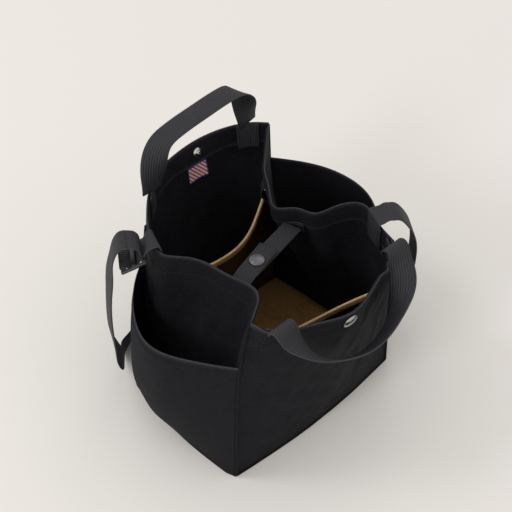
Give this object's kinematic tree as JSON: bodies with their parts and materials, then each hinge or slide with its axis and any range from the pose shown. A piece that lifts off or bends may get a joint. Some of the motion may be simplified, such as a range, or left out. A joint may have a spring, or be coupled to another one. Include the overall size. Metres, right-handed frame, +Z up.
{
  "type": "garden tool bag",
  "caption": "Open soft canvas bag for hand tools, with outer and inner pockets, a snap strap across the mouth, carry handles and a long shoulder strap.",
  "frame": {"origin": "centre of the base, on the floor", "axes": "+X along the front panel towards its right end, the front panel faces -Y, +Z up"},
  "size_m": [0.331, 0.3104, 0.2566],
  "materials": {
    "canvas": "matte woven canvas",
    "lining": "matte woven cloth",
    "webbing": "ribbed webbing",
    "label": "woven",
    "slider": "moulded",
    "snap_metal": "dark nickel plate"
  },
  "bodies": {
    "bag": {"back_handle_ends": "webbing", "back_inner_pocket": "lining", "back_panel": "canvas", "back_rim_facing": "canvas", "bottom_panel": "canvas", "buckle_loop": "webbing", "buckle_loop_end": "webbing", "closure_cap_seat": "webbing", "closure_stud_seat": "webbing", "floor_liner": "lining", "front_handle_ends": "webbing", "front_inner_pocket": "lining", "front_panel": "canvas", "front_rim_facing": "canvas", "left_outer_pocket": "canvas", "left_side_panel": "canvas", "left_side_rim_facing": "canvas", "right_outer_pocket": "canvas", "right_side_panel": "canvas", "right_side_rim_facing": "canvas", "rim_snap_cap": "snap_metal", "rim_snap_post": "snap_metal", "rim_snap_socket": "snap_metal", "rim_snap_stud": "snap_metal", "shoulder_strap_end": "webbing", "shoulder_strap_lead": "webbing", "shoulder_strap_seat": "webbing", "strap_slider": "slider", "tool_loop": "webbing", "woven_label": "label"},
    "front_handle": {"front_handle": "webbing"},
    "back_handle": {"back_handle": "webbing"},
    "closure_cap_half": {"closure_cap_strap": "webbing", "closure_snap_cap": "snap_metal", "closure_snap_socket": "snap_metal"},
    "closure_stud_half": {"closure_stud_strap": "webbing", "closure_snap_stud": "snap_metal", "closure_snap_post": "snap_metal"},
    "shoulder_strap": {"shoulder_strap": "webbing"}
  },
  "joints": [
    {"name": "front_handle_swing", "type": "hinge", "parent": "bag", "child": "front_handle", "pos_m": [0.0019, -0.10054, 0.20352], "axis": [-0.9999, -0.01, 0.0043], "range_deg": [0, 90]},
    {"name": "back_handle_swing", "type": "hinge", "parent": "bag", "child": "back_handle", "pos_m": [0.03783, 0.12303, 0.19859], "axis": [-0.995, -0.0997, 0.0118], "range_deg": [-50, 60]},
    {"name": "closure_cap_lift", "type": "hinge", "parent": "bag", "child": "closure_cap_half", "pos_m": [-0.04732, -0.02215, 0.17442], "axis": [0.2979, -0.9546, 0], "range_deg": [0, 60]},
    {"name": "closure_stud_drop", "type": "hinge", "parent": "bag", "child": "closure_stud_half", "pos_m": [0.05083, 0.00278, 0.17477], "axis": [0.2133, -0.977, 0], "range_deg": [0, 70]},
    {"name": "shoulder_strap_swing", "type": "hinge", "parent": "bag", "child": "shoulder_strap", "pos_m": [-0.1022, 0.0685, 0.213], "axis": [0.8208, -0.5712, 0.004], "range_deg": [0, 110]}
  ]
}
